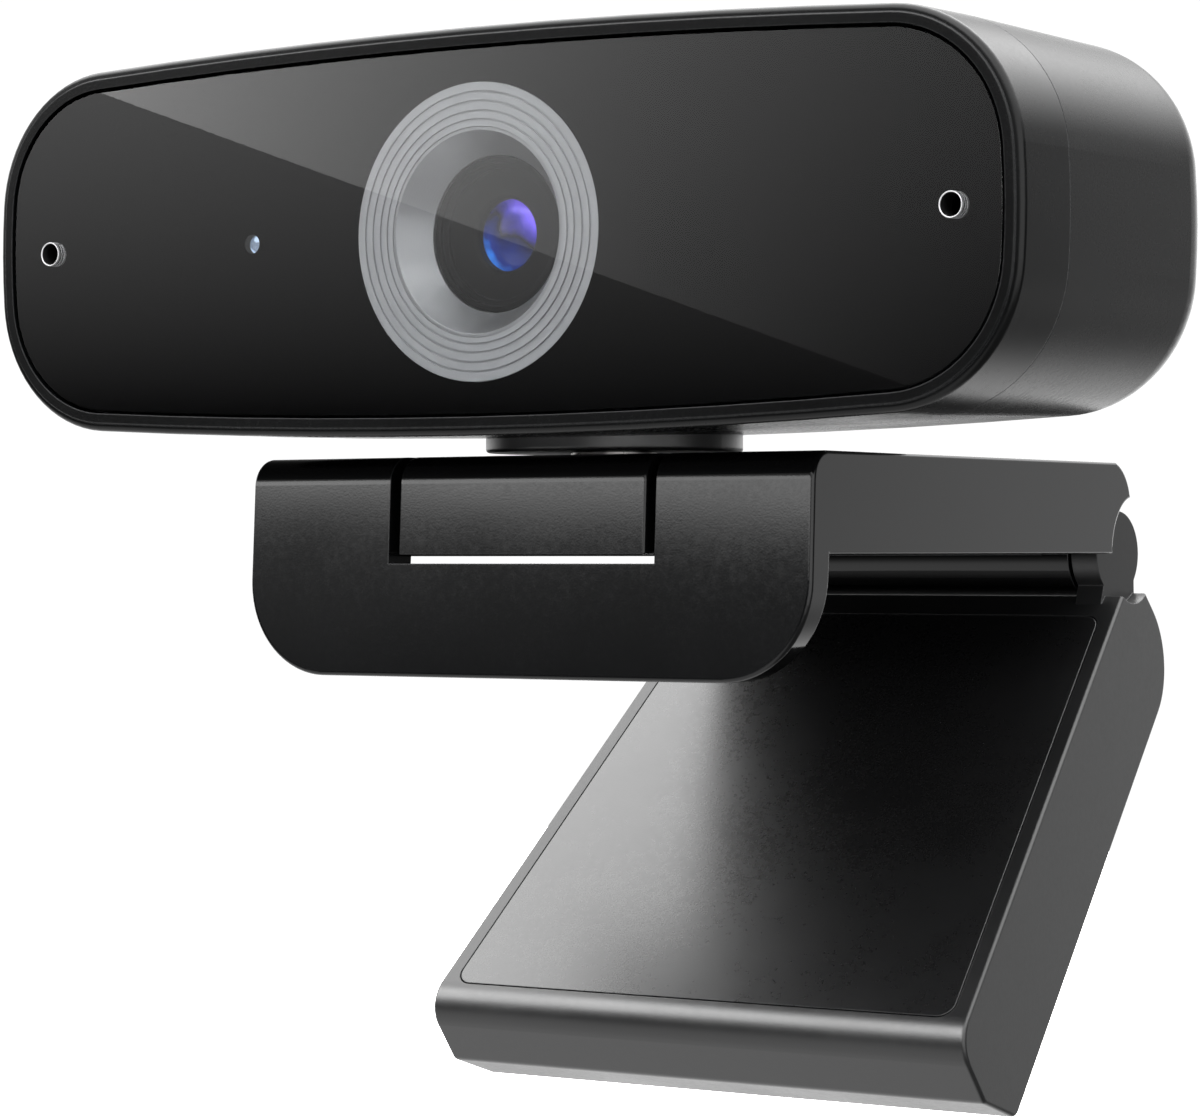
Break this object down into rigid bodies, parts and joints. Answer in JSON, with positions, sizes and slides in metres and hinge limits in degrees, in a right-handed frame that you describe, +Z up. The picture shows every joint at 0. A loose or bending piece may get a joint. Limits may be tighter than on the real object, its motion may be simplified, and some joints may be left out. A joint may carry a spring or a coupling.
{
  "type": "webcam with folding screen clip",
  "caption": "Wide webcam head on a swivel neck and lifting arm, carried by a screen clip with a front lip, soft pads and a folding rear leg with a tripod thread.",
  "frame": {"origin": "where the swivel axis of the neck meets the rest face under the bracket beam", "axes": "+X to the right as seen from the front, -Y the way the lens looks, +Z up along the swivel axis"},
  "size_m": [0.0948, 0.0709, 0.0834],
  "materials": {
    "front_bezel": "satin black moulding",
    "front_window": "polished clear acrylic",
    "window_mask": "black printed film",
    "mic_sleeves": "gloss black, ribbed",
    "lens_ring": "fine turned, anodised grey",
    "lens_cone": "satin grey",
    "lens_barrel": "matt black, stepped",
    "lens_front": "coated glass",
    "lens_rear": "coated glass",
    "lens_holder": "matt black",
    "image_filter": "infrared filter",
    "image_sensor": "silicon in a black package",
    "camera_board": "green solder mask",
    "board_chips": "black packages",
    "board_connector": "natural nylon",
    "board_screws": "zinc plated",
    "status_light": "clear lens",
    "light_pipe": "clear acrylic",
    "board_light": "white package",
    "mic_gaskets": "black silicone",
    "mic_capsules": "pressed can",
    "rear_housing": "satin black moulding",
    "housing_screws": "black oxide",
    "cord_gland": "black",
    "neck_post": "satin black",
    "swivel_washer": "natural acetal",
    "swivel_shaft": "turned steel",
    "swivel_spring": "spring steel",
    "swivel_nut": "zinc plated",
    "tilt_arm": "satin black moulding",
    "bracket_shell": "satin black moulding",
    "flap_pad": "soft black rubber",
    "beam_cover": "matt black",
    "beam_pad": "soft black rubber",
    "cover_screws": "black oxide",
    "tilt_pin": "ground steel",
    "tilt_washers": "spring steel",
    "hinge_pin": "ground steel",
    "hinge_springs": "spring steel",
    "leg_shell": "satin black moulding",
    "leg_cover": "matt black",
    "leg_pad": "satin black grip sheet",
    "leg_screws": "zinc plated",
    "tripod_nut": "turned brass"
  },
  "bodies": {
    "bracket": {"bracket_shell": "bracket_shell", "flap_pad": "flap_pad", "beam_cover": "beam_cover", "beam_pad": "beam_pad", "cover_screws": "cover_screws", "tilt_pin": "tilt_pin", "tilt_washers": "tilt_washers", "hinge_pin": "hinge_pin", "hinge_springs": "hinge_springs"},
    "arm": {"tilt_arm": "tilt_arm", "swivel_shaft": "swivel_shaft", "swivel_spring": "swivel_spring", "swivel_nut": "swivel_nut"},
    "leg": {"leg_shell": "leg_shell", "leg_cover": "leg_cover", "leg_pad": "leg_pad", "leg_screws": "leg_screws", "tripod_nut": "tripod_nut"},
    "head": {"front_bezel": "front_bezel", "front_window": "front_window", "window_mask": "window_mask", "mic_sleeves": "mic_sleeves", "lens_ring": "lens_ring", "lens_cone": "lens_cone", "lens_barrel": "lens_barrel", "lens_front": "lens_front", "lens_rear": "lens_rear", "lens_holder": "lens_holder", "image_filter": "image_filter", "image_sensor": "image_sensor", "camera_board": "camera_board", "board_chips": "board_chips", "board_connector": "board_connector", "board_screws": "board_screws", "status_light": "status_light", "light_pipe": "light_pipe", "board_light": "board_light", "mic_gaskets": "mic_gaskets", "mic_capsules": "mic_capsules", "rear_housing": "rear_housing", "housing_screws": "housing_screws", "cord_gland": "cord_gland", "neck_post": "neck_post", "swivel_washer": "swivel_washer"}
  },
  "joints": [
    {"name": "arm_tilt", "type": "hinge", "parent": "bracket", "child": "arm", "pos_m": [0, 0.0312, 0.0046], "axis": [-1, 0, 0], "range_deg": [0, 30]},
    {"name": "head_swivel", "type": "hinge", "parent": "arm", "child": "head", "pos_m": [0, 0, 0.0122], "axis": [0, 0, 1], "range_deg": [-40, 40]},
    {"name": "leg_fold", "type": "hinge", "parent": "bracket", "child": "leg", "pos_m": [0, 0.0462, 0.0001], "axis": [1, 0, 0], "range_deg": [-43, 135]}
  ]
}
